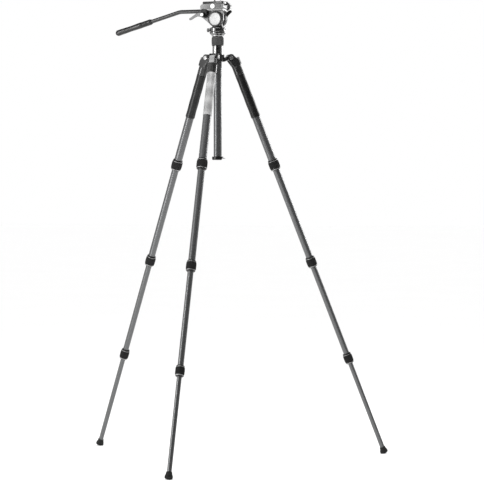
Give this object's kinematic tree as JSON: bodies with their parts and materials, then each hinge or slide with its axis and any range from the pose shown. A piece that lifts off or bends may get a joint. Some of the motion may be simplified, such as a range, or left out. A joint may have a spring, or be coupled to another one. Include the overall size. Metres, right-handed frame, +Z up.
{
  "type": "camera tripod with fluid video head",
  "caption": "Travel camera tripod with telescoping carbon legs, twist locks, rising centre column and a small fluid video head with pan handle and quick-release plate.",
  "frame": {"origin": "on the floor, at the centre of the box round the three feet and the head; the column stands 144 mm towards +Y from it", "axes": "+Z up along the centre column and the camera screw; the front leg points to -Y; the head faces +X, turned 9.9 degrees towards the front leg"},
  "size_m": [1.0298, 0.8954, 1.5151],
  "materials": {
    "carbon": "woven carbon tube, satin clear coat",
    "dark_casting": "gunmetal coat, semi-gloss",
    "polished_sleeve": "dark anodised, polished",
    "bare_metal": "satin anodised",
    "steel": "turned steel",
    "lock_rubber": "ribbed rubber over alloy",
    "foam": "closed-cell foam",
    "foot_rubber": "moulded rubber",
    "printed_wrap": "pale wrap with a plain dot pattern",
    "head_grey": "silver-grey coat",
    "head_black": "black coat, semi-gloss",
    "dial_silver": "spun face",
    "knob_grey": "moulded",
    "pad_rubber": "ribbed pad"
  },
  "bodies": {
    "spider": {"spider": "dark_casting", "neck_sleeve": "polished_sleeve", "hinge_bolts": "steel"},
    "column": {"column_tube": "carbon", "column_cap": "head_black", "head_disc": "bare_metal", "pan_base": "head_black"},
    "column_collar": {"column_lock": "lock_rubber"},
    "hook": {"ballast_hook": "steel"},
    "pan_head": {"pan_housing": "head_black"},
    "pan_lock": {"pan_lock_knob": "head_black"},
    "pan_drag": {"pan_drag_knob": "knob_grey"},
    "tilt_head": {"tilt_cradle": "head_grey", "tilt_axle": "steel", "plate_receiver": "head_grey"},
    "tilt_drag": {"drag_dial": "dial_silver"},
    "tilt_lock": {"tilt_lock_lever": "head_black"},
    "handle": {"handle_clamp": "head_black", "handle_tube": "head_black", "handle_grip": "foam"},
    "handle_lock": {"clamp_lever": "knob_grey"},
    "plate": {"quick_plate": "head_black", "plate_pad": "pad_rubber"},
    "screw": {"camera_screw": "steel"},
    "pin": {"video_pin": "steel"},
    "catch": {"plate_safety_catch": "knob_grey"},
    "plate_lock": {"plate_clamp_knob": "bare_metal"},
    "front_leg": {"front_casting": "dark_casting", "front_tube_1": "carbon", "front_wrap": "printed_wrap"},
    "front_stop": {"front_angle_stop": "knob_grey"},
    "front_twist_1": {"front_lock_1": "lock_rubber"},
    "front_twist_2": {"front_lock_2": "lock_rubber"},
    "front_twist_3": {"front_lock_3": "lock_rubber"},
    "front_section_2": {"front_tube_2": "carbon"},
    "front_section_3": {"front_tube_3": "carbon"},
    "front_section_4": {"front_tube_4": "carbon", "front_foot": "foot_rubber"},
    "right_leg": {"right_casting": "dark_casting", "right_tube_1": "carbon", "right_grip": "foam"},
    "right_stop": {"right_angle_stop": "knob_grey"},
    "right_twist_1": {"right_lock_1": "lock_rubber"},
    "right_twist_2": {"right_lock_2": "lock_rubber"},
    "right_twist_3": {"right_lock_3": "lock_rubber"},
    "right_section_2": {"right_tube_2": "carbon"},
    "right_section_3": {"right_tube_3": "carbon"},
    "right_section_4": {"right_tube_4": "carbon", "right_foot": "foot_rubber"},
    "left_leg": {"left_casting": "dark_casting", "left_tube_1": "carbon", "left_grip": "foam"},
    "left_stop": {"left_angle_stop": "knob_grey"},
    "left_twist_1": {"left_lock_1": "lock_rubber"},
    "left_twist_2": {"left_lock_2": "lock_rubber"},
    "left_twist_3": {"left_lock_3": "lock_rubber"},
    "left_section_2": {"left_tube_2": "carbon"},
    "left_section_3": {"left_tube_3": "carbon"},
    "left_section_4": {"left_tube_4": "carbon", "left_foot": "foot_rubber"}
  },
  "joints": [
    {"name": "column_slide", "type": "slide", "parent": "spider", "child": "column", "axis": [0, 0, 1], "range_m": [0, 0.3]},
    {"name": "column_lock_turn", "type": "hinge", "parent": "spider", "child": "column_collar", "pos_m": [0, 0.14418, 1.32528], "axis": [0, 0, 1], "range_deg": [0, 120]},
    {"name": "hook_swing", "type": "hinge", "parent": "column", "child": "hook", "pos_m": [0, 0.14418, 0.99328], "axis": [-0.2588, 0.9659, 0], "range_deg": [0, 90]},
    {"name": "pan_turn", "type": "hinge", "parent": "column", "child": "pan_head", "pos_m": [0, 0.14418, 1.4513], "axis": [0, 0, 1], "continuous": true},
    {"name": "pan_lock_turn", "type": "hinge", "parent": "pan_head", "child": "pan_lock", "pos_m": [0, 0.14418, 1.4153], "axis": [-0.9655, -0.2605, 0], "range_deg": [0, 180]},
    {"name": "pan_drag_turn", "type": "hinge", "parent": "pan_head", "child": "pan_drag", "pos_m": [0, 0.14418, 1.4153], "axis": [0.9851, -0.1719, 0], "range_deg": [0, 270]},
    {"name": "tilt_turn", "type": "hinge", "parent": "pan_head", "child": "tilt_head", "pos_m": [0, 0.14418, 1.4513], "axis": [0.1719, 0.9851, 0], "range_deg": [-40, 75]},
    {"name": "tilt_drag_turn", "type": "hinge", "parent": "tilt_head", "child": "tilt_drag", "pos_m": [0, 0.14418, 1.4513], "axis": [0.1719, 0.9851, 0], "range_deg": [0, 300]},
    {"name": "tilt_lock_turn", "type": "hinge", "parent": "tilt_head", "child": "tilt_lock", "pos_m": [0, 0.14418, 1.4513], "axis": [-0.1719, -0.9851, 0], "range_deg": [-60, 0]},
    {"name": "handle_turn", "type": "hinge", "parent": "tilt_head", "child": "handle", "pos_m": [-0.0394, 0.15106, 1.4653], "axis": [-0.1719, -0.9851, 0], "range_deg": [-5, 60]},
    {"name": "handle_lock_turn", "type": "hinge", "parent": "tilt_head", "child": "handle_lock", "pos_m": [-0.0394, 0.15106, 1.4653], "axis": [-0.1719, -0.9851, 0], "range_deg": [-35, 60]},
    {"name": "plate_slide", "type": "slide", "parent": "tilt_head", "child": "plate", "axis": [0.9851, -0.1719, 0], "range_m": [-0.02, 0.004]},
    {"name": "camera_screw_turn", "type": "hinge", "parent": "plate", "child": "screw", "pos_m": [-0.01084, 0.14607, 1.5013], "axis": [0, 0, 1], "continuous": true},
    {"name": "video_pin_press", "type": "slide", "parent": "plate", "child": "pin", "axis": [0, 0, -1], "range_m": [0, 0.004], "stiffness_N_per_m": 500, "springref_m": -0.003},
    {"name": "safety_catch_press", "type": "slide", "parent": "tilt_head", "child": "catch", "axis": [0.1719, 0.9851, 0], "range_m": [0, 0.002], "stiffness_N_per_m": 500, "springref_m": -0.003},
    {"name": "plate_lock_turn", "type": "hinge", "parent": "tilt_head", "child": "plate_lock", "pos_m": [0.02266, 0.14023, 1.4933], "axis": [0.1719, 0.9851, 0], "range_deg": [0, 180]},
    {"name": "front_leg_fold", "type": "hinge", "parent": "spider", "child": "front_leg", "pos_m": [0, 0.10158, 1.32528], "axis": [-1, 0, 0], "range_deg": [-21.8, 130]},
    {"name": "front_stop_pull", "type": "slide", "parent": "front_leg", "child": "front_stop", "axis": [0, -0.9285, 0.3714], "range_m": [0, 0.003], "stiffness_N_per_m": 400, "springref_m": -0.004},
    {"name": "front_slide_1", "type": "slide", "parent": "front_leg", "child": "front_section_2", "axis": [0, 0.3714, 0.9285], "range_m": [0, 0.3]},
    {"name": "front_twist_1_turn", "type": "hinge", "parent": "front_leg", "child": "front_twist_1", "pos_m": [0, 0.09257, 1.32888], "axis": [0, 0.3714, 0.9285], "range_deg": [0, 120]},
    {"name": "front_slide_2", "type": "slide", "parent": "front_section_2", "child": "front_section_3", "axis": [0, 0.3714, 0.9285], "range_m": [0, 0.3]},
    {"name": "front_twist_2_turn", "type": "hinge", "parent": "front_section_2", "child": "front_twist_2", "pos_m": [0, 0.09257, 1.32888], "axis": [0, 0.3714, 0.9285], "range_deg": [0, 120]},
    {"name": "front_slide_3", "type": "slide", "parent": "front_section_3", "child": "front_section_4", "axis": [0, 0.3714, 0.9285], "range_m": [0, 0.3]},
    {"name": "front_twist_3_turn", "type": "hinge", "parent": "front_section_3", "child": "front_twist_3", "pos_m": [0, 0.09257, 1.32888], "axis": [0, 0.3714, 0.9285], "range_deg": [0, 120]},
    {"name": "right_leg_fold", "type": "hinge", "parent": "spider", "child": "right_leg", "pos_m": [0.03689, 0.16548, 1.32528], "axis": [0.5, -0.866, 0], "range_deg": [-21.8, 130]},
    {"name": "right_stop_pull", "type": "slide", "parent": "right_leg", "child": "right_stop", "axis": [0.8041, 0.4642, 0.3714], "range_m": [0, 0.003], "stiffness_N_per_m": 400, "springref_m": -0.004},
    {"name": "right_slide_1", "type": "slide", "parent": "right_leg", "child": "right_section_2", "axis": [-0.3216, -0.1857, 0.9285], "range_m": [0, 0.3]},
    {"name": "right_twist_1_turn", "type": "hinge", "parent": "right_leg", "child": "right_twist_1", "pos_m": [0.04469, 0.16998, 1.32888], "axis": [-0.3216, -0.1857, 0.9285], "range_deg": [0, 120]},
    {"name": "right_slide_2", "type": "slide", "parent": "right_section_2", "child": "right_section_3", "axis": [-0.3216, -0.1857, 0.9285], "range_m": [0, 0.3]},
    {"name": "right_twist_2_turn", "type": "hinge", "parent": "right_section_2", "child": "right_twist_2", "pos_m": [0.04469, 0.16998, 1.32888], "axis": [-0.3216, -0.1857, 0.9285], "range_deg": [0, 120]},
    {"name": "right_slide_3", "type": "slide", "parent": "right_section_3", "child": "right_section_4", "axis": [-0.3216, -0.1857, 0.9285], "range_m": [0, 0.3]},
    {"name": "right_twist_3_turn", "type": "hinge", "parent": "right_section_3", "child": "right_twist_3", "pos_m": [0.04469, 0.16998, 1.32888], "axis": [-0.3216, -0.1857, 0.9285], "range_deg": [0, 120]},
    {"name": "left_leg_fold", "type": "hinge", "parent": "spider", "child": "left_leg", "pos_m": [-0.03689, 0.16548, 1.32528], "axis": [0.5, 0.866, 0], "range_deg": [-21.8, 130]},
    {"name": "left_stop_pull", "type": "slide", "parent": "left_leg", "child": "left_stop", "axis": [-0.8041, 0.4642, 0.3714], "range_m": [0, 0.003], "stiffness_N_per_m": 400, "springref_m": -0.004},
    {"name": "left_slide_1", "type": "slide", "parent": "left_leg", "child": "left_section_2", "axis": [0.3216, -0.1857, 0.9285], "range_m": [0, 0.3]},
    {"name": "left_twist_1_turn", "type": "hinge", "parent": "left_leg", "child": "left_twist_1", "pos_m": [-0.04469, 0.16998, 1.32888], "axis": [0.3216, -0.1857, 0.9285], "range_deg": [0, 120]},
    {"name": "left_slide_2", "type": "slide", "parent": "left_section_2", "child": "left_section_3", "axis": [0.3216, -0.1857, 0.9285], "range_m": [0, 0.3]},
    {"name": "left_twist_2_turn", "type": "hinge", "parent": "left_section_2", "child": "left_twist_2", "pos_m": [-0.04469, 0.16998, 1.32888], "axis": [0.3216, -0.1857, 0.9285], "range_deg": [0, 120]},
    {"name": "left_slide_3", "type": "slide", "parent": "left_section_3", "child": "left_section_4", "axis": [0.3216, -0.1857, 0.9285], "range_m": [0, 0.3]},
    {"name": "left_twist_3_turn", "type": "hinge", "parent": "left_section_3", "child": "left_twist_3", "pos_m": [-0.04469, 0.16998, 1.32888], "axis": [0.3216, -0.1857, 0.9285], "range_deg": [0, 120]}
  ]
}
